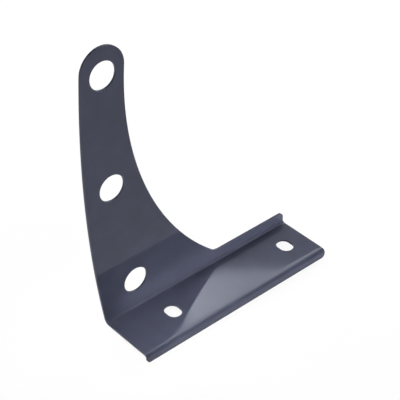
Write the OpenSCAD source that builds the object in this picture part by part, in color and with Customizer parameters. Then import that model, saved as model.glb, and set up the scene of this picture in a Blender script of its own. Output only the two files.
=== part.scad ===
// Snow guard bracket, folded from one painted steel sheet.
// A tall fin with three tube holes stands along the back edge of a base that is
// screwed down flat, and the base's front edge is folded down into a short lip.
// The origin is midway between the two screw slots, on the base's underside:
// X runs along the base from its near end to its far end, Y towards the fin, Z up.

/* [Sheet] */
// Thickness of the steel sheet
sheet_t = 2; // [1.5:0.1:3]
// Inside radius of the fold between the base and the fin
fin_fold_r = 3; // [2:0.5:5]
// Inside radius of the fold between the base and the lip
lip_fold_r = 2; // [1:0.5:3]

/* [Base] */
// Length of the base
base_len = 224; // [215:1:280]
// Depth of the base, from the fin's back face to the lip's front face
base_depth = 61; // [50:1:90]
// How far the lip reaches below the base's underside
lip_drop = 7; // [6.5:0.5:20]
// Radius of the lip's two lower corners
lip_corner_r = 4; // [1:0.5:6]

/* [Screw slots] */
// Width of each screw slot, measured along the base
screw_slot_w = 14.5; // [6:0.5:16]
// Length of each screw slot, measured across the base
screw_slot_len = 18; // [17:0.5:24]
// Distance between the centres of the two screw slots
screw_pitch = 143.5; // [100:0.5:150]
// Distance of the far slot's centre from the base's far end
screw_far_end = 25; // [15:0.5:35]

/* [Tube holes] */
// Diameter of each tube hole, which takes a 25 mm tube
tube_hole_d = 26; // [16:0.5:28]
// Height of the low tube's centre above the base's underside
low_tube_h = 32.5; // [28:0.5:45]
// Rise from the low tube's centre to the middle tube's
low_tube_rise = 113.5; // [90:0.5:125]
// Rise from the middle tube's centre to the top tube's
top_tube_rise = 112; // [90:0.5:125]
// Distance of the low tube's centre from the base's near end
low_tube_x = 36; // [25:0.5:45]
// Distance of the middle tube's centre from the base's near end
mid_tube_x = 15; // [10:0.5:20]
// Distance of the top tube's centre from the base's near end
top_tube_x = 12; // [5:0.5:20]

/* [Fin] */
// Radius of the fin's round head
head_r = 22; // [20:0.5:28]
// How far the head's centre lies above the top tube's centre
head_rise = 4.5; // [0:0.5:6]
// Radius of the fin's bulging edge, on the near side
near_edge_r = 1100; // [700:10:2000]
// Height in the fold at which the bulging edge starts from the base's near end
near_edge_foot_h = 3; // [2.5:0.5:5]
// Radius of the fin's hollow edge, on the far side
far_edge_r = 290; // [270:1:320]
// Height of the hollow edge's innermost point above the base's underside
waist_h = 233; // [215:1:255]
// Height of the low wall beside the fin, above the base's underside
wall_h = 13.5; // [8:0.5:20]
// Radius of the low wall's corner at the far end
wall_corner_r = 5; // [1:0.5:6]
// Radius of the fillet between the low wall and the hollow edge
wall_fillet_r = 11; // [4:0.5:30]

/* [Hidden] */

// How far a cutting shape runs past what it cuts
spare = 5;
// How far arcs that meet smoothly cross, so that rounding leaves no step between them
nip = 0.002;
// Facets on the preview's small circles and on its long arcs
hole_fn = 96;
arc_fn = 1440;

// Where the base lies: its two ends, its back and its front
near_x = screw_far_end + screw_pitch / 2 - base_len;
far_x = near_x + base_len;
back_y = base_depth / 2;
front_y = -base_depth / 2;

// Points of the fin's outline, as seen from the front: [X, Z]
low_tube = [near_x + low_tube_x, low_tube_h];
mid_tube = [near_x + mid_tube_x, low_tube_h + low_tube_rise];
top_tube = [near_x + top_tube_x, low_tube_h + low_tube_rise + top_tube_rise];
head = top_tube + [0, head_rise];
foot = [near_x, near_edge_foot_h];

// The box that holds the outline, with room to cut it out
left_x = near_x - 2 * head_r;
right_x = far_x + spare;
top_z = head[1] + head_r + spare;
bottom_z = -lip_drop - spare;

// The bulging edge starts at the foot and runs smoothly into the head
near_centre = circles_meet(foot, near_edge_r, head, near_edge_r - head_r + nip);

// The hollow edge leaves the head smoothly and is innermost at the waist
far_centre = [head[0] + leg(far_edge_r + head_r - nip, waist_h - head[1]), waist_h];

// The fillet touches the hollow edge and the top of the low wall
fillet_z = wall_h + wall_fillet_r - nip;
fillet_reach = leg(far_edge_r - wall_fillet_r + nip, fillet_z - waist_h);
fillet_centre = [far_centre[0] - fillet_reach, fillet_z];

// The other leg of a right-angled triangle
function leg(long_side, short_side) = sqrt(long_side ^ 2 - short_side ^ 2);

// The point at a distance from one point, on the line through another
function along(from, to, distance) = from + (to - from) / norm(to - from) * distance;

// Where a circle about p meets one about q, to the right of the way from p to q
function circles_meet(p, p_r, q, q_r) =
    let (
        gap = norm(q - p),
        way = (q - p) / gap,
        ahead = (p_r ^ 2 - q_r ^ 2 + gap ^ 2) / (2 * gap),
        aside = leg(p_r, ahead)
    )
    p + way * ahead + [way[1], -way[0]] * aside;

// A quarter of a ring of sheet, bent to an inside radius, in the first quadrant
module fold(inside_r) {
    outside_r = inside_r + sheet_t;
    difference() {
        intersection() {
            circle(outside_r, $fn = hole_fn);
            square(outside_r);
        }
        circle(inside_r, $fn = hole_fn);
    }
}

// The sheet seen from its end: fin, fold, base, fold and lip
module end_view() {
    fin_fold_y = back_y - sheet_t - fin_fold_r;
    fin_fold_z = sheet_t + fin_fold_r;
    lip_fold_y = front_y + sheet_t + lip_fold_r;
    translate([back_y - sheet_t, fin_fold_z]) square([sheet_t, top_z - fin_fold_z]);
    translate([fin_fold_y, fin_fold_z]) mirror([0, 1]) fold(fin_fold_r);
    translate([lip_fold_y, 0]) square([fin_fold_y - lip_fold_y, sheet_t]);
    translate([lip_fold_y, -lip_fold_r]) mirror([1, 0]) fold(lip_fold_r);
    translate([front_y, -lip_drop]) square([sheet_t, lip_drop - lip_fold_r]);
}

// The folded sheet before its outline is cut
module blank() {
    translate([left_x, 0, 0]) rotate([90, 0, 90])
        linear_extrude(far_x - left_x) end_view();
}

// Carries a shape drawn in the front view right through the sheet
module from_front() {
    translate([0, back_y + spare, 0]) rotate([90, 0, 0])
        linear_extrude(base_depth + 2 * spare) children();
}

// What lies outside the base's near end and the bulging edge
module near_waste() {
    difference() {
        translate([left_x - spare, bottom_z]) square([near_x - left_x + spare, top_z + spare - bottom_z]);
        translate(near_centre) circle(near_edge_r, $fn = arc_fn);
    }
}

// What lies around the head, above the two points where the long edges meet it
module head_waste() {
    near_out = along(near_centre, head, near_edge_r + head_r);
    difference() {
        polygon([
            head,
            near_out,
            [near_out[0], top_z + spare],
            [far_centre[0], top_z + spare],
            far_centre
        ]);
        translate(head) circle(head_r, $fn = hole_fn);
    }
}

// What lies within the hollow edge, down to the point where the fillet meets it
module far_waste() {
    fillet_out = along(far_centre, fillet_centre, far_edge_r + spare);
    intersection() {
        translate(far_centre) circle(far_edge_r, $fn = arc_fn);
        polygon([
            fillet_centre,
            fillet_out,
            [left_x, fillet_out[1]],
            [left_x, top_z],
            [fillet_centre[0], top_z]
        ]);
    }
    translate(fillet_centre) circle(wall_fillet_r, $fn = hole_fn);
}

// What lies above the low wall
module wall_waste() {
    translate([fillet_centre[0], wall_h]) square([right_x - fillet_centre[0], top_z + spare - wall_h]);
}

// What lies outside a rounded corner that points right or left, and up or down
module corner_waste(corner, r, way) {
    size = r + spare;
    translate(corner - r * way) difference() {
        translate([min(way[0], 0), min(way[1], 0)] * size) square(size);
        circle(r, $fn = hole_fn);
    }
}

// A hole through the fin for one tube
module tube_hole(place) {
    translate([place[0], back_y + spare, place[1]]) rotate([90, 0, 0])
        cylinder(h = sheet_t + 2 * spare, d = tube_hole_d, $fn = hole_fn);
}

// A slot through the base for one screw, long across the base
module screw_slot(x) {
    half = (screw_slot_len - screw_slot_w) / 2;
    depth = sheet_t + 2 * spare;
    translate([x, 0, -spare]) {
        for (y = [-half, half])
            translate([0, y, 0]) cylinder(h = depth, d = screw_slot_w, $fn = hole_fn);
        translate([-screw_slot_w / 2, -half, 0]) cube([screw_slot_w, 2 * half, depth]);
    }
}

module bracket() {
    color([0.28, 0.30, 0.36])
    difference() {
        blank();
        from_front() near_waste();
        from_front() head_waste();
        from_front() far_waste();
        from_front() wall_waste();
        from_front() corner_waste([far_x, wall_h], wall_corner_r, [1, 1]);
        from_front() corner_waste([far_x, -lip_drop], lip_corner_r, [1, -1]);
        from_front() corner_waste([near_x, -lip_drop], lip_corner_r, [-1, -1]);
        for (place = [low_tube, mid_tube, top_tube]) tube_hole(place);
        for (x = [-screw_pitch / 2, screw_pitch / 2]) screw_slot(x);
    }
}

bracket();
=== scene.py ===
"""Snow guard bracket, folded from one sheet and powder coated.

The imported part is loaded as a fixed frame. The bracket's sheet is then built again as a
fine mesh with rounded, coated edges, and a pale studio is set round it. Sizes are in
metres: X runs along the base from its near end to its far end, Y towards the fin, Z up.
"""
import math
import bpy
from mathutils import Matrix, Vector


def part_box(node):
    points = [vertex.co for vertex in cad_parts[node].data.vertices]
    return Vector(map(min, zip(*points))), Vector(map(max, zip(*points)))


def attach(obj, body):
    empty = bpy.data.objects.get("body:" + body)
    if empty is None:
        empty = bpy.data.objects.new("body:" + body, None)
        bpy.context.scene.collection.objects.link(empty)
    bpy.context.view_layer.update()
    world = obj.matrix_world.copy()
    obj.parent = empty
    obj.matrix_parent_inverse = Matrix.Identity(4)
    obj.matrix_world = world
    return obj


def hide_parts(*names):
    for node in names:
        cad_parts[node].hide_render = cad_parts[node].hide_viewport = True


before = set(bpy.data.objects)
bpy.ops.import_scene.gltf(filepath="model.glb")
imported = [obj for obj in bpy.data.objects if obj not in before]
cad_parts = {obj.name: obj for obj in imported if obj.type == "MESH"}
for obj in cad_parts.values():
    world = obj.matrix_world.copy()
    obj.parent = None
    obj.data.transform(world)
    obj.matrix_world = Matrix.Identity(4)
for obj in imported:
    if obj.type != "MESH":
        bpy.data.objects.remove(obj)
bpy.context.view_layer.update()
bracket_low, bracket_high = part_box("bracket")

from types import SimpleNamespace

import bpy
import numpy as np
from bpy.props import FloatProperty, FloatVectorProperty, PointerProperty
from mathutils import Quaternion, Vector

bl_info = {
    "name": "Snow Guard Bracket",
    "version": (1, 0, 0),
    "blender": (4, 5, 0),
    "location": "View3D > Sidebar > Snow Guard",
    "description": "Builds a folded snow guard bracket with its powder coat, and a pale studio round it",
    "category": "Add Mesh",
}


# How the flat blank is divided into patches, in metres
NEAR_SLOT_ROOM = 0.02525  # from the near screw slot's centre to either end of its patch
FAR_SLOT_ROOM = 0.025  # from the far screw slot's centre back to the start of its patch
TUBE_ROOM = 0.028  # from a tube hole's centre to the foot or the top of its patch
LOW_PATCH_TOP = 0.060  # height at which the patch round the low tube hole ends

# Faces along the length, in the stretches between the lip's corners, the slots' patches and the wall's fillet
LENGTH_FACES = (8, 8, 24, 16, 10, 22, 8)
NEAR_SLOT_STRETCH, FAR_SLOT_STRETCH, WALL_STRETCH = 2, 5, 4

# Rows of faces across the lip, the folds, the base, the low wall and a plain stretch of the fin
LIP_ROWS, LIP_FOLD_ROWS, BASE_ROWS, FIN_FOLD_ROWS, WALL_ROWS, FIN_ROWS = 5, 9, 22, 12, 4, 14

# Faces across the fin, and along each side of the patches round the tube holes
FIN_COLUMNS = 26
FILLET_FACES, LOW_HOLLOW_FACES, LOW_BULGE_FACES = 8, 18, 24
MID_SIDE_FACES, TOP_SIDE_FACES, HEAD_FACES = 26, 14, 72

# Rings of faces round each hole, which crowd towards the hole where the power is above 1
SLOT_RINGS, LOW_RINGS, TUBE_RINGS = 7, 9, 6
RING_POWER = 1.4

# Points nearer to each other than this many decimal places of a metre are one point
WELD_PLACES = 7

# The coat's mottles: width of their waves, and the noise values taken as their two ends
COLOUR_MOTTLE_WIDTH, ROUGHNESS_MOTTLE_WIDTH = 0.018, 0.009
NOISE_LOW, NOISE_HIGH = 0.3, 0.7

# The bevel stands in for the coat's rounding: its segments, and the fold angle that it leaves alone
EDGE_SEGMENTS, SMOOTH_ANGLE = 3, math.radians(50)

# The floor's disc
FLOOR_RADIUS, FLOOR_RINGS, FLOOR_SPOKES = 8, 7, 64

# The backdrop that the gloss shows: softness of its top edge, and how its ends fade along Y
BACKDROP_SOFTNESS = math.radians(1)
BACKDROP_FADE = (-0.3, 0.1)

# The back panel's lower and upper edge, as elevations in degrees seen from the base
PANEL_LOW, PANEL_HIGH = 39.7, 66
PANEL_MIDDLE = (PANEL_LOW + PANEL_HIGH) / 2

# Points that the lamps are set out from, and the distance of the far ones
BASE_MIDDLE, NEAR_PART, FAR = (0, 0, 0.002), (-0.098, 0, 0.002), 2.0
PANEL_HEIGHT = 2 * FAR * math.tan(math.radians(PANEL_HIGH - PANEL_MIDDLE))

# Every lamp, by its property's name. Azimuth 0 is in front and 90 beyond the far end. Angles are in degrees.
LAMPS = {
    "back_panel": dict(azimuth=128, elevation=PANEL_MIDDLE, width=0.60, height=PANEL_HEIGHT, turn=7),
    "back_grid": dict(
        azimuth=128,
        elevation=PANEL_MIDDLE,
        distance=FAR + 0.02,
        width=0.60,
        height=PANEL_HEIGHT,
        turn=7,
        faces=(139.7, 42),
        spread=6,
    ),
    "right_panel": dict(azimuth=106, elevation=16, width=0.6, height=0.5),
    "rear_panel": dict(azimuth=160, elevation=28, width=1.0, height=0.9, in_gloss=False),
    "front_strip": dict(azimuth=0, elevation=8, width=1.2, height=0.4),
    "foot_grid": dict(
        point=(0, 0, 0.028), azimuth=0, elevation=0, distance=0.38, width=0.22, height=0.05, spread=12, in_gloss=False
    ),
    "heel_grid": dict(
        point=(0, 0, 0.010), azimuth=0, elevation=0, distance=0.38, width=0.22, height=0.02, spread=6, in_gloss=False
    ),
    "fold_panel": dict(azimuth=82, elevation=59.5, width=0.8, height=0.5),
    "near_grid": dict(
        point=NEAR_PART, azimuth=-90, elevation=62, distance=0.7, width=0.12, height=0.12, spread=17, in_gloss=False
    ),
}


def length(name, description, default, low=0.0, high=2.0):
    """A size in metres for the sidebar."""
    return FloatProperty(
        name=name,
        description=description,
        default=default,
        min=low,
        max=high,
        precision=4,
        unit="LENGTH",
        subtype="DISTANCE",
    )


def spot(name, description, default):
    """A place in the fin's front view, X and Z in metres."""
    return FloatVectorProperty(name=name, description=description, default=default, size=2, precision=4, unit="LENGTH")


def part(name, description, default, high=1.0):
    """A share for the sidebar, shown as a slider."""
    return FloatProperty(name=name, description=description, default=default, min=0.0, max=high, subtype="FACTOR")


def tint(name, description, default):
    """A colour for the sidebar."""
    return FloatVectorProperty(
        name=name, description=description, default=default, size=3, min=0.0, max=1.0, subtype="COLOR"
    )


def angle(name, description, degrees):
    """An angle for the sidebar, given in degrees."""
    return FloatProperty(
        name=name, description=description, default=math.radians(degrees), unit="ROTATION", subtype="ANGLE"
    )


def glow(name, description, default, high=50.0):
    """A brightness for the sidebar."""
    return FloatProperty(name=name, description=description, default=default, min=0.0, max=high)


class SheetSizes(bpy.types.PropertyGroup):
    """Sizes of the folded sheet"""

    thickness: length("Thickness", "Thickness of the steel sheet", 0.002, 0.001, 0.004)
    fin_fold: length("Fin fold", "Inside radius of the fold between the base and the fin", 0.003)
    lip_fold: length("Lip fold", "Inside radius of the fold between the base and the lip", 0.002)
    far_end: length("Far end", "Where the base ends on the far side of the screw slots", bracket_high.x)
    base_length: length("Base length", "Length of the base", 0.224)
    base_depth: length("Base depth", "From the fin's back face to the lip's front face", bracket_high.y - bracket_low.y)
    lip_drop: length("Lip drop", "How far the lip reaches below the base's underside", -bracket_low.z)
    lip_corner: length("Lip corner", "Radius of the lip's two lower corners", 0.004)
    slot_width: length("Slot width", "Width of a screw slot along the base", 0.0145)
    slot_length: length("Slot length", "Length of a screw slot across the base", 0.018)
    slot_pitch: length("Slot pitch", "Distance between the centres of the two screw slots", 0.1435)
    hole_diameter: length("Tube hole", "Diameter of each tube hole in the fin", 0.026)
    low_hole: spot("Low hole", "Centre of the low tube hole", (-0.09125, 0.0325))
    mid_hole: spot("Middle hole", "Centre of the middle tube hole", (-0.11225, 0.146))
    top_hole: spot("Top hole", "Centre of the top tube hole", (-0.11525, 0.258))
    head_radius: length("Head radius", "Radius of the fin's round head", 0.022)
    head_rise: length("Head rise", "How far the head's centre lies above the top tube hole's", 0.0045)
    bulge_radius: length("Bulging edge", "Radius of the fin's bulging edge", 1.1)
    foot_height: length("Foot height", "Height in the fold at which the bulging edge starts", 0.003)
    hollow_radius: length("Hollow edge", "Radius of the fin's hollow edge", 0.29)
    waist_height: length("Waist height", "Height of the hollow edge's innermost point", 0.233)
    wall_height: length("Wall height", "Height of the low wall beside the fin", 0.0135)
    wall_corner: length("Wall corner", "Radius of the low wall's corner at the far end", 0.005)
    wall_fillet: length("Wall fillet", "Radius of the fillet between the low wall and the hollow edge", 0.011)
    edge_round: length("Edge rounding", "Radius to which the coat rounds every cut edge", 0.0004, 0.0001, 0.0008)


class CoatFinish(bpy.types.PropertyGroup):
    """Colour and surface of the powder coat"""

    colour: tint("Coat colour", "Colour of the powder coat", (0.0505, 0.0545, 0.0815))
    mottle: part("Mottle", "How much the coat's colour varies from place to place", 0.06, 0.5)
    smoothest: part("Smoothest", "Roughness of the coat where it has flowed out best", 0.05)
    roughest: part("Roughest", "Roughness of the coat where it has flowed out least", 0.075)
    ior: FloatProperty(
        name="Coat IOR", description="Refractive index of the coat's surface", default=1.29, min=1.0, max=2.5
    )
    gloss_tint: tint("Gloss tint", "Tint of the coat's reflections", (0.74, 0.80, 1.0))
    peel_width: length("Orange peel width", "Distance from one wave of the orange peel to the next", 0.0022)
    peel_depth: length("Orange peel depth", "Depth of the orange peel's waves", 0.0000025, 0.0, 0.0001)
    grain_width: length("Grain width", "Distance between the coat's finest grains", 0.0004)
    grain_depth: length("Grain depth", "Depth of the coat's finest grains", 0.0000002, 0.0, 0.0001)


class StudioSetting(bpy.types.PropertyGroup):
    """Camera, lamps and floor"""

    aim: FloatVectorProperty(
        name="Aim",
        description="Point that the camera looks at",
        default=(-0.03877, -0.00042, 0.11322),
        size=3,
        precision=5,
        unit="LENGTH",
    )
    azimuth: angle("Azimuth", "Turn of the camera round the bracket", -41.217)
    elevation: angle("Elevation", "Height of the camera above the horizon", 37.088)
    roll: angle("Roll", "Turn of the camera about its own line of sight", -0.177)
    distance: length("Camera distance", "From the camera to the point it looks at", 1.08966, 0.1, 20.0)
    lens: FloatProperty(
        name="Lens",
        description="Focal length of the camera in millimetres",
        default=111.67,
        min=10.0,
        max=500.0,
        unit="CAMERA",
    )
    floor_colour: tint("Floor colour", "Colour of the floor", (0.86, 0.86, 0.86))
    floor_white: part("Floor white", "Share of plain white in the floor as it is seen", 0.93)
    air: glow("Air", "Strength of the even light from all round", 0.18, 2.0)
    room: part("Room", "Strength at which the gloss shows the room round the backdrop, where 1 is white", 0.12)
    backdrop_top: angle("Backdrop top", "Elevation up to which the gloss shows the white backdrop", 40.5)
    back_panel: glow("Back panel", "Brightness of the large panel behind and above the bracket", 5.35)
    back_grid: glow("Back grid", "Brightness of the narrow beam from the back panel", 5.8)
    right_panel: glow("Right panel", "Brightness of the low panel beyond the far end", 47.0, 100.0)
    rear_panel: glow("Rear panel", "Brightness of the panel behind the fin", 10.0)
    front_strip: glow("Front strip", "Brightness of the low strip in front", 10.3)
    foot_grid: glow("Foot grid", "Brightness of the low beam on the fin's foot and the wall", 145.0, 500.0)
    heel_grid: glow("Heel grid", "Brightness of the narrow beam along the top of the fin's fold", 1150.0, 2000.0)
    fold_panel: glow("Fold panel", "Brightness of the panel that the fin's fold mirrors", 3.0)
    near_grid: glow("Near grid", "Brightness of the narrow beam on the base's near part", 176.0, 300.0)


def arc(centre, radius, first, last, count):
    """Points on a circle about the centre, evenly spaced by their angle from the first to the last."""
    turn = np.linspace(first, last, count + 1)
    return np.asarray(centre) + radius * np.column_stack([np.cos(turn), np.sin(turn)])


def direction(start, end):
    """Unit vector from one point towards another."""
    way = np.subtract(end, start)
    return way / np.hypot(*way)


def angle_of(way):
    """Angle of a vector, from the first axis towards the second."""
    return math.atan2(way[1], way[0])


def circles_meet(p, p_radius, q, q_radius):
    """Where a circle about p meets one about q, to the right of the way from p to q: so far along that way, and so far
    aside from it."""
    gap = np.hypot(*np.subtract(q, p))
    way = direction(p, q)
    ahead = (p_radius**2 - q_radius**2 + gap**2) / (2 * gap)
    aside = math.sqrt(p_radius**2 - ahead**2)
    return p + way * ahead + np.array([way[1], -way[0]]) * aside


def sheet_lines(size):
    """Every line of the sheet that the patches share. Heights are above the base's underside. Ways run across the flat
    blank from the lip's lower edge over the lip fold, the base and the fin fold up the fin, along the middle of the
    sheet."""
    s = SimpleNamespace()
    s.lip_bend, s.fin_bend = size.lip_fold + size.thickness / 2, size.fin_fold + size.thickness / 2
    s.near, s.far = size.far_end - size.base_length, size.far_end
    s.low, s.front = -size.lip_drop, (size.thickness - size.base_depth) / 2
    s.lip_end = size.lip_drop - size.lip_fold
    s.base_start = s.lip_end + s.lip_bend * math.pi / 2
    s.base_end = s.base_start + size.base_depth - 2 * size.thickness - size.lip_fold - size.fin_fold
    s.fin_start = s.base_end + s.fin_bend * math.pi / 2
    s.fin_low = size.thickness + size.fin_fold

    s.slots = (-size.slot_pitch / 2, size.slot_pitch / 2)
    s.head = np.array([size.top_hole[0], size.top_hole[1] + size.head_rise])
    s.foot = np.array([s.near, size.foot_height])
    s.bulge_centre = circles_meet(s.foot, size.bulge_radius, s.head, size.bulge_radius - size.head_radius)
    reach = math.sqrt((size.hollow_radius + size.head_radius) ** 2 - (size.waist_height - s.head[1]) ** 2)
    s.hollow_centre = np.array([s.head[0] + reach, size.waist_height])
    fillet_z = size.wall_height + size.wall_fillet
    fillet_reach = math.sqrt((size.hollow_radius - size.wall_fillet) ** 2 - (fillet_z - size.waist_height) ** 2)
    s.fillet_centre = np.array([s.hollow_centre[0] - fillet_reach, fillet_z])
    s.fillet_top = s.hollow_centre + direction(s.hollow_centre, s.fillet_centre) * size.hollow_radius
    s.bulge_top = s.head + direction(s.bulge_centre, s.head) * size.head_radius
    s.hollow_top = s.head + direction(s.head, s.hollow_centre) * size.head_radius
    return s


def bulge_x(s, size, z):
    """The near edge at a height: the base's end up to the foot, then the bulging circle."""
    circle = s.bulge_centre[0] - np.sqrt(size.bulge_radius**2 - (z - s.bulge_centre[1]) ** 2)
    hair = 1e-9
    return np.where(z > size.foot_height + hair, circle, s.near)


def hollow_x(s, size, z):
    """The hollow edge at a height, on its circle."""
    return s.hollow_centre[0] - np.sqrt(size.hollow_radius**2 - (z - s.hollow_centre[1]) ** 2)


def fold_up(flat, s, size):
    """The flat blank bent up. Across it, each stretch adds its share to Y and Z. A straight adds its length one way. A
    fold of mean radius r adds r sin(turn) one way and r (1 - cos(turn)) the other, where the turn grows to a right
    angle."""
    x, way = flat.T
    lip_turn = np.clip((way - s.lip_end) / s.lip_bend, 0, math.pi / 2)
    fin_turn = np.clip((way - s.base_end) / s.fin_bend, 0, math.pi / 2)
    on_base = np.clip(way, s.base_start, s.base_end) - s.base_start
    y = s.front + s.lip_bend * (1 - np.cos(lip_turn)) + on_base + s.fin_bend * np.sin(fin_turn)
    z = (
        s.low
        + np.minimum(way, s.lip_end)
        + s.lip_bend * np.sin(lip_turn)
        + s.fin_bend * (1 - np.cos(fin_turn))
        + np.maximum(way - s.fin_start, 0)
    )
    return np.column_stack([x, y, z])


def rows_between(first, last, count):
    """Grid of straight lines, each from a point of one row to its partner in the other."""
    share = np.linspace(0, 1, count + 1)[:, None, None]
    return first * (1 - share) + last * share


def ring_round(loop, centre, radius, half, rings):
    """Grid between a hole and the loop round it. A point of the hole has the angle at which the centre sees its partner
    in the loop. It lies at the radius from the centre, and half a slot's straight side further up or down."""
    loop = np.vstack([loop, loop[:1]])
    way = loop - centre
    turn = np.arctan2(way[:, 1], way[:, 0])
    side = np.sign(np.round(way[:, 1], 9))
    edge = np.asarray(centre) + np.column_stack([radius * np.cos(turn), radius * np.sin(turn) + half * side])
    share = (np.linspace(0, 1, rings + 1) ** RING_POWER)[:, None, None]
    return edge * (1 - share) + loop * share


def level(x, way):
    """A row of points at one way across the blank."""
    return np.column_stack([x, np.full(len(x), float(way))])


def loop_of(*sides):
    """Closed loop from sides that start where the one before ends. Each is given to its last point, which the next side
    has too."""
    return np.vstack([side[:-1] for side in sides])


def blank_patches(s, size):
    """The flat blank as grids of points, X by way. Patches meet in the same points: the two ends, both sides of each
    screw slot and the foot of the wall's fillet divide the length, and the folds and the tube holes divide the way."""
    ends = [
        s.near,
        s.near + size.lip_corner,
        s.slots[0] - NEAR_SLOT_ROOM,
        s.slots[0] + NEAR_SLOT_ROOM,
        s.fillet_centre[0],
        s.slots[1] - FAR_SLOT_ROOM,
        s.far - size.lip_corner,
        s.far,
    ]
    counts = LENGTH_FACES
    start = np.cumsum([0, *counts])
    stretches = [np.linspace(a, b, n, endpoint=False) for a, b, n in zip(ends, ends[1:], counts)]
    x = np.concatenate(stretches + [[s.far]])
    corner, wall_start, far_slot_start = size.lip_corner, start[WALL_STRETCH], start[FAR_SLOT_STRETCH]

    # Lip: from its fold down to the lower edge with its two round corners
    low_edge = level(x, 0)
    low_edge[: start[1] + 1] = arc((s.near + corner, corner), corner, math.pi, 1.5 * math.pi, counts[0])
    low_edge[start[-2] :] = arc((s.far - corner, corner), corner, 1.5 * math.pi, 2 * math.pi, counts[-1])
    patches = [rows_between(low_edge, level(x, s.lip_end), LIP_ROWS)]
    patches.append(rows_between(level(x, s.lip_end), level(x, s.base_start), LIP_FOLD_ROWS))

    # Base: plain stretches, and one with a screw slot at either end
    for i, (a, b) in enumerate(zip(start, start[1:])):
        along = x[a : b + 1]
        first, last = level(along, s.base_start), level(along, s.base_end)
        if i not in (NEAR_SLOT_STRETCH, FAR_SLOT_STRETCH):
            patches.append(rows_between(first, last, BASE_ROWS))
            continue
        side = np.linspace(s.base_start, s.base_end, BASE_ROWS + 1)
        right, left = (np.column_stack([np.full(BASE_ROWS + 1, edge), side]) for edge in (along[-1], along[0]))
        centre = (s.slots[i == FAR_SLOT_STRETCH], s.base_start - s.front - s.lip_bend)
        half = (size.slot_length - size.slot_width) / 2
        loop = loop_of(first, right, last[::-1], left[::-1])
        patches.append(ring_round(loop, centre, size.slot_width / 2, half, SLOT_RINGS))

    # Fin fold: the near edge leaves the base's end at the foot
    way = np.linspace(s.base_end, s.fin_start, FIN_FOLD_ROWS + 1)
    height = size.thickness / 2 + s.fin_bend * (1 - np.cos((way - s.base_end) / s.fin_bend))
    shift = bulge_x(s, size, height) - s.near
    share = np.clip((ends[1] - x) / (ends[1] - s.near), 0, 1)
    fold = np.stack([x + shift[:, None] * share, np.broadcast_to(way[:, None], (len(way), len(x)))], axis=2)
    patches.append(fold)

    # Fin and low wall: heights are turned into ways at the end
    up = []
    foot_row = np.column_stack([fold[-1, :, 0], np.full(len(x), s.fin_low)])
    low_top, mid_foot = LOW_PATCH_TOP, size.mid_hole[1] - TUBE_ROOM
    mid_top, top_foot = size.mid_hole[1] + TUBE_ROOM, size.top_hole[1] - TUBE_ROOM

    def row(z):
        """Row across the fin at a height, from the bulging edge to the hollow one."""
        across = np.linspace(bulge_x(s, size, np.float64(z)), hollow_x(s, size, z), FIN_COLUMNS + 1)
        return level(across, z)

    def edge(form, low, high, count):
        """One long edge from a height to another."""
        z = np.linspace(low, high, count + 1)
        return np.column_stack([form(s, size, z), z])

    def plain(low, high):
        """Stretch of the fin without a hole, from a height to another."""
        z = np.linspace(low, high, FIN_ROWS + 1)[:, None]
        left, right = bulge_x(s, size, z), hollow_x(s, size, z)
        across = left + (right - left) * np.linspace(0, 1, FIN_COLUMNS + 1)
        return np.stack([across, np.broadcast_to(z, across.shape)], axis=2)

    fillet_first, fillet_last = 1.5 * math.pi, angle_of(s.fillet_top - s.fillet_centre) % (2 * math.pi)
    wall_rise = np.linspace(s.fin_low, size.wall_height, WALL_ROWS + 1)
    wall_side = np.column_stack([np.full(WALL_ROWS + 1, s.fillet_centre[0]), wall_rise])
    low_loop = loop_of(
        foot_row[: wall_start + 1],
        wall_side,
        arc(s.fillet_centre, size.wall_fillet, fillet_first, fillet_last, FILLET_FACES),
        edge(hollow_x, s.fillet_top[1], low_top, LOW_HOLLOW_FACES),
        row(low_top)[::-1],
        edge(bulge_x, low_top, s.fin_low, LOW_BULGE_FACES),
    )
    up.append(ring_round(low_loop, size.low_hole, size.hole_diameter / 2, 0, LOW_RINGS))
    wall_corner = np.array([s.far - size.wall_corner, size.wall_height - size.wall_corner])
    wall_far = np.linspace(x[far_slot_start], wall_corner[0], counts[FAR_SLOT_STRETCH], endpoint=False)
    wall_top = np.vstack([
        level(x[wall_start:far_slot_start], size.wall_height),
        level(wall_far, size.wall_height),
        arc(wall_corner, size.wall_corner, math.pi / 2, 0, counts[-1]),
    ])
    up.append(rows_between(foot_row[wall_start:], wall_top, WALL_ROWS))
    up.append(plain(low_top, mid_foot))
    mid_loop = loop_of(
        row(mid_foot),
        edge(hollow_x, mid_foot, mid_top, MID_SIDE_FACES),
        row(mid_top)[::-1],
        edge(bulge_x, mid_top, mid_foot, MID_SIDE_FACES),
    )
    up.append(ring_round(mid_loop, size.mid_hole, size.hole_diameter / 2, 0, TUBE_RINGS))
    up.append(plain(mid_top, top_foot))
    head_first = angle_of(s.hollow_top - s.head)
    head_last = angle_of(s.bulge_top - s.head) % (2 * math.pi)
    head_loop = loop_of(
        row(top_foot),
        edge(hollow_x, top_foot, s.hollow_top[1], TOP_SIDE_FACES),
        arc(s.head, size.head_radius, head_first, head_last, HEAD_FACES),
        edge(bulge_x, s.bulge_top[1], top_foot, TOP_SIDE_FACES),
    )
    up.append(ring_round(head_loop, size.top_hole, size.hole_diameter / 2, 0, TUBE_RINGS))
    return patches + [p + np.array([0, s.fin_start - s.fin_low]) for p in up]


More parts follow.
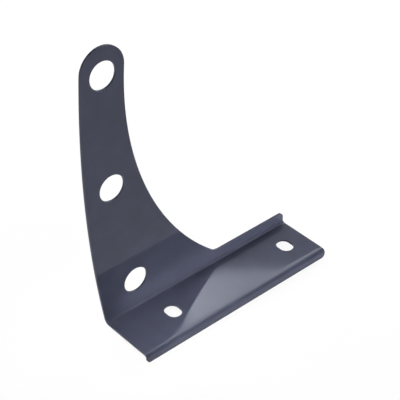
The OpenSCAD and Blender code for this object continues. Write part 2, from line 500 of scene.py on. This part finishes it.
def join_patches(patches):
    """One set of points and four-sided faces from grids that share points. Every face is turned the same way round, by
    the sign of its area in the flat blank."""
    points, faces, count = [], [], 0
    for grid in patches:
        index = np.arange(grid.shape[0] * grid.shape[1]).reshape(grid.shape[:2]) + count
        faces.append(np.stack([index[:-1, :-1], index[:-1, 1:], index[1:, 1:], index[1:, :-1]], axis=-1).reshape(-1, 4))
        points.append(grid.reshape(-1, 2))
        count += index.size
    points, faces = np.vstack(points), np.vstack(faces)
    _, kept, place = np.unique(np.round(points, WELD_PLACES), axis=0, return_index=True, return_inverse=True)
    points, faces = points[kept], place.reshape(-1)[faces]
    a, b = points[faces[:, 2]] - points[faces[:, 0]], points[faces[:, 3]] - points[faces[:, 1]]
    turned = a[:, 0] * b[:, 1] - a[:, 1] * b[:, 0] < 0
    faces[turned] = faces[turned][:, ::-1]
    return points, faces


def sheet_mesh(name, flat, places, faces):
    """Mesh from arrays of places and faces, with the flat blank as its UV map, at one scale both ways."""
    mesh = bpy.data.meshes.new(name)
    mesh.vertices.add(len(places))
    mesh.loops.add(faces.size)
    mesh.polygons.add(len(faces))
    mesh.vertices.foreach_set("co", places.astype(np.float32).ravel())
    mesh.loops.foreach_set("vertex_index", faces.astype(np.int32).ravel())
    mesh.polygons.foreach_set("loop_start", np.arange(0, faces.size, 4, dtype=np.int32))
    mesh.polygons.foreach_set("use_smooth", np.ones(len(faces), bool))
    mesh.update(calc_edges=True)
    unit = (flat - flat.min(0)) / np.ptp(flat, axis=0).max()
    mesh.uv_layers.new(name="flat_blank").uv.foreach_set("vector", unit[faces.ravel()].astype(np.float32).ravel())
    mesh.validate()
    return mesh


def powder_coat(finish):
    """Glossy powder coat. A slow mottle varies its colour, a finer one its roughness, and its bumps are the soft waves
    of orange peel with a very fine grain on them."""
    coat = bpy.data.materials.new("powder_coat_graphite_blue")
    coat.use_nodes = True
    nodes, links = coat.node_tree.nodes, coat.node_tree.links
    shader = nodes["Principled BSDF"]
    shader.inputs["IOR"].default_value = finish.ior
    shader.inputs["Specular Tint"].default_value = (*finish.gloss_tint, 1)
    place = nodes.new("ShaderNodeTexCoord")

    def noise(width, detail):
        """Noise whose waves are so wide, in metres."""
        texture = nodes.new("ShaderNodeTexNoise")
        texture.inputs["Scale"].default_value = 1 / width
        texture.inputs["Detail"].default_value = detail
        links.new(place.outputs["Object"], texture.inputs["Vector"])
        return texture.outputs["Fac"]

    colour = np.array(finish.colour)
    ramp = nodes.new("ShaderNodeValToRGB")
    shares = (1 - finish.mottle, 1 + finish.mottle)
    for element, position, share in zip(ramp.color_ramp.elements, (NOISE_LOW, NOISE_HIGH), shares):
        element.position = position
        element.color = (*(colour * share), 1)
    links.new(noise(COLOUR_MOTTLE_WIDTH, 3), ramp.inputs["Fac"])
    links.new(ramp.outputs["Color"], shader.inputs["Base Color"])

    rough = nodes.new("ShaderNodeMapRange")
    rough.inputs["From Min"].default_value, rough.inputs["From Max"].default_value = NOISE_LOW, NOISE_HIGH
    rough.inputs["To Min"].default_value, rough.inputs["To Max"].default_value = finish.smoothest, finish.roughest
    links.new(noise(ROUGHNESS_MOTTLE_WIDTH, 2), rough.inputs["Value"])
    links.new(rough.outputs["Result"], shader.inputs["Roughness"])

    peel = nodes.new("ShaderNodeBump")
    peel.inputs["Distance"].default_value = finish.peel_depth
    links.new(noise(finish.peel_width, 1), peel.inputs["Height"])
    grain = nodes.new("ShaderNodeBump")
    grain.inputs["Distance"].default_value = finish.grain_depth
    links.new(noise(finish.grain_width, 1), grain.inputs["Height"])
    links.new(peel.outputs["Normal"], grain.inputs["Normal"])
    links.new(grain.outputs["Normal"], shader.inputs["Normal"])
    return coat


def floor_white(setting):
    """Pale floor. Seen straight or in a gloss it is partly plain white, and the rest takes light and the bracket's
    shadow."""
    material = bpy.data.materials.new("studio_floor")
    material.use_nodes = True
    nodes, links = material.node_tree.nodes, material.node_tree.links
    nodes.clear()
    out = nodes.new("ShaderNodeOutputMaterial")
    matt = nodes.new("ShaderNodeBsdfDiffuse")
    matt.inputs["Color"].default_value = (*setting.floor_colour, 1)
    white = nodes.new("ShaderNodeEmission")
    ray = nodes.new("ShaderNodeLightPath")
    seen = seen_rays(nodes, links, ray)
    share = nodes.new("ShaderNodeMath")
    share.operation = "MULTIPLY"
    share.inputs[1].default_value = setting.floor_white
    links.new(seen, share.inputs[0])
    mix = nodes.new("ShaderNodeMixShader")
    links.new(share.outputs[0], mix.inputs[0])
    links.new(matt.outputs[0], mix.inputs[1])
    links.new(white.outputs[0], mix.inputs[2])
    links.new(mix.outputs[0], out.inputs["Surface"])
    return material


def seen_rays(nodes, links, ray):
    """1 for a ray from the camera, from a gloss or through glass, and 0 for one that only lights."""
    total = ray.outputs["Is Camera Ray"]
    for kind in ("Is Glossy Ray", "Is Transmission Ray"):
        add = nodes.new("ShaderNodeMath")
        add.operation = "ADD"
        add.use_clamp = True
        links.new(total, add.inputs[0])
        links.new(ray.outputs[kind], add.inputs[1])
        total = add.outputs[0]
    return total


def light_panel(
    name,
    brightness,
    azimuth,
    elevation,
    width,
    height,
    point=BASE_MIDDLE,
    distance=FAR,
    spread=180,
    turn=0,
    faces=None,
    in_gloss=True,
):
    """Flat panel at a distance from a point, in the direction of an azimuth and elevation. It looks back at the point,
    or against the direction that `faces` gives, and is turned about its own middle by `turn`. Angles are in degrees.
    Its power is its brightness times pi times its area. Where a grid narrows its beam to a spread, with half of it
    called h, the power is less by (tan h - h) / tan h."""
    lamp = bpy.data.lights.new(name, "AREA")
    lamp.shape = "RECTANGLE"
    lamp.size, lamp.size_y = width, height
    lamp.energy = brightness * math.pi * width * height
    if spread < 180:
        half = math.radians(spread) / 2
        lamp.spread = math.radians(spread)
        lamp.energy *= (math.tan(half) - half) / math.tan(half)
    panel = bpy.data.objects.new(name, lamp)
    away = seen_from(math.radians(azimuth), math.radians(elevation))
    panel.location = Vector(point) + away * distance
    if faces:
        away = seen_from(*map(math.radians, faces))
    panel.rotation_mode = "QUATERNION"
    panel.rotation_quaternion = away.to_track_quat("Z", "Y") @ Quaternion((0, 0, 1), math.radians(turn))
    panel.visible_camera = False
    panel.visible_glossy = in_gloss
    return panel


def seen_from(azimuth, elevation):
    """Unit vector from the bracket towards an azimuth and elevation. Azimuth 0 is in front, on the side of the lip."""
    level_part = math.cos(elevation)
    return Vector((math.sin(azimuth) * level_part, -math.cos(azimuth) * level_part, math.sin(elevation)))


def floor_disc(setting):
    """Flat disc just under the lip, as rings by spokes. The rings lie closer together near the bracket."""
    radius = np.linspace(0, 1, FLOOR_RINGS) ** 2 * FLOOR_RADIUS
    turn = np.linspace(0, 2 * math.pi, FLOOR_SPOKES, endpoint=False)
    radius, turn = np.meshgrid(radius, turn, indexing="ij")
    places = np.stack([radius * np.cos(turn), radius * np.sin(turn), np.full(radius.shape, bracket_low.z)], axis=-1)
    index = np.arange(radius.size).reshape(radius.shape)
    following = np.roll(index, -1, axis=1)
    faces = np.stack([index[:-1], index[1:], following[1:], following[:-1]], axis=-1).reshape(-1, 4)
    mesh = bpy.data.meshes.new("floor")
    mesh.from_pydata(places.reshape(-1, 3), [], faces)
    mesh.materials.append(floor_white(setting))
    return bpy.data.objects.new("floor", mesh)


def studio_air(setting):
    """World with an even light. The camera sees it white, and the gloss sees a white backdrop behind the bracket, up to
    its top, with a darker room above it and in front."""
    world = bpy.data.worlds.new("studio_air")
    world.use_nodes = True
    nodes, links = world.node_tree.nodes, world.node_tree.links
    background = nodes["Background"]
    background.inputs["Color"].default_value = (1, 1, 1, 1)
    ray = nodes.new("ShaderNodeLightPath")
    way = nodes.new("ShaderNodeSeparateXYZ")
    links.new(nodes.new("ShaderNodeTexCoord").outputs["Generated"], way.inputs[0])

    def fade(part_of_way, first, last):
        """0 where one part of the direction is at its first value, 1 where it is at its last."""
        share = nodes.new("ShaderNodeMapRange")
        share.inputs["From Min"].default_value, share.inputs["From Max"].default_value = first, last
        links.new(way.outputs[part_of_way], share.inputs["Value"])
        return share.outputs["Result"]

    def mixed(share, low, high):
        """Low where the share is 0 and high where it is 1. Each may be a number or a socket."""
        mix = nodes.new("ShaderNodeMix")
        links.new(share, mix.inputs["Factor"])
        for name, value in (("A", low), ("B", high)):
            if isinstance(value, (int, float)):
                mix.inputs[name].default_value = value
            else:
                links.new(value, mix.inputs[name])
        return mix.outputs["Result"]

    backdrop = nodes.new("ShaderNodeMath")
    backdrop.operation = "MULTIPLY"
    top = setting.backdrop_top
    links.new(fade("Z", math.sin(top + BACKDROP_SOFTNESS), math.sin(top)), backdrop.inputs[0])
    links.new(fade("Y", *BACKDROP_FADE), backdrop.inputs[1])
    gloss = mixed(backdrop.outputs[0], setting.room, 1)
    seen = mixed(ray.outputs["Is Camera Ray"], gloss, 1)
    strength = mixed(seen_rays(nodes, links, ray), setting.air, seen)
    links.new(strength, background.inputs["Strength"])
    return world


def photo_camera(setting):
    """Camera at its distance from the point that it looks at, turned about its own line of sight by the roll."""
    camera_data = bpy.data.cameras.new("camera")
    camera_data.lens = setting.lens
    camera_data.sensor_width = 36
    camera_data.clip_start, camera_data.clip_end = 0.05, 50
    camera = bpy.data.objects.new("camera", camera_data)
    away = seen_from(setting.azimuth, setting.elevation)
    camera.location = Vector(setting.aim) + away * setting.distance
    camera.rotation_mode = "QUATERNION"
    camera.rotation_quaternion = away.to_track_quat("Z", "Y") @ Quaternion((0, 0, 1), setting.roll)
    return camera


class SNOWGUARD_OT_bracket(bpy.types.Operator):
    """Build the folded and coated bracket"""

    bl_idname = "snowguard.bracket"
    bl_label = "Folded bracket"

    def execute(self, context):
        size = context.scene.snowguard_sizes
        s = sheet_lines(size)
        flat, faces = join_patches(blank_patches(s, size))
        mesh = sheet_mesh("folded_sheet", flat, fold_up(flat, s, size), faces)
        bracket = bpy.data.objects.new("folded_sheet", mesh)
        context.scene.collection.objects.link(bracket)

        wall = bracket.modifiers.new("sheet thickness", "SOLIDIFY")
        wall.thickness = size.thickness
        wall.offset = 0
        wall.use_even_offset = True
        edges = bracket.modifiers.new("coated edges", "BEVEL")
        edges.width = size.edge_round
        edges.segments = EDGE_SEGMENTS
        edges.limit_method = "ANGLE"
        edges.angle_limit = SMOOTH_ANGLE
        edges.harden_normals = True

        mesh.materials.append(powder_coat(context.scene.snowguard_finish))
        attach(bracket, "root")
        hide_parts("bracket")
        return {"FINISHED"}


class SNOWGUARD_OT_stage(bpy.types.Operator):
    """Set the floor, the lamps and the camera"""

    bl_idname = "snowguard.stage"
    bl_label = "Pale studio"

    def execute(self, context):
        scene, setting = context.scene, context.scene.snowguard_studio
        scene.view_settings.view_transform = "Standard"

        floor = floor_disc(setting)
        scene.collection.objects.link(floor)
        scene.world = studio_air(setting)
        for name, lamp in LAMPS.items():
            scene.collection.objects.link(light_panel(name, getattr(setting, name), **lamp))
        camera = photo_camera(setting)
        scene.collection.objects.link(camera)
        scene.camera = camera
        return {"FINISHED"}


class SNOWGUARD_PT_sidebar(bpy.types.Panel):
    """Lists the bracket and its studio"""

    bl_idname = "SNOWGUARD_PT_sidebar"
    bl_label = "Snow guard bracket"
    bl_space_type = "VIEW_3D"
    bl_region_type = "UI"
    bl_category = "Snow Guard"

    def draw(self, context):
        for operator, group in (
            (SNOWGUARD_OT_bracket, context.scene.snowguard_sizes),
            (None, context.scene.snowguard_finish),
            (SNOWGUARD_OT_stage, context.scene.snowguard_studio),
        ):
            box = self.layout.box()
            for name in group.bl_rna.properties.keys():
                if name not in ("rna_type", "name"):
                    box.prop(group, name)
            if operator:
                box.operator(operator.bl_idname)


CLASSES = (SheetSizes, CoatFinish, StudioSetting, SNOWGUARD_OT_bracket, SNOWGUARD_OT_stage, SNOWGUARD_PT_sidebar)


def register():
    for cls in CLASSES:
        bpy.utils.register_class(cls)
    bpy.types.Scene.snowguard_sizes = PointerProperty(type=SheetSizes)
    bpy.types.Scene.snowguard_finish = PointerProperty(type=CoatFinish)
    bpy.types.Scene.snowguard_studio = PointerProperty(type=StudioSetting)


def unregister():
    del bpy.types.Scene.snowguard_studio
    del bpy.types.Scene.snowguard_finish
    del bpy.types.Scene.snowguard_sizes
    for cls in reversed(CLASSES):
        bpy.utils.unregister_class(cls)


def main():
    register()
    bpy.ops.snowguard.bracket()
    bpy.ops.snowguard.stage()


if __name__ == "__main__":
    main()
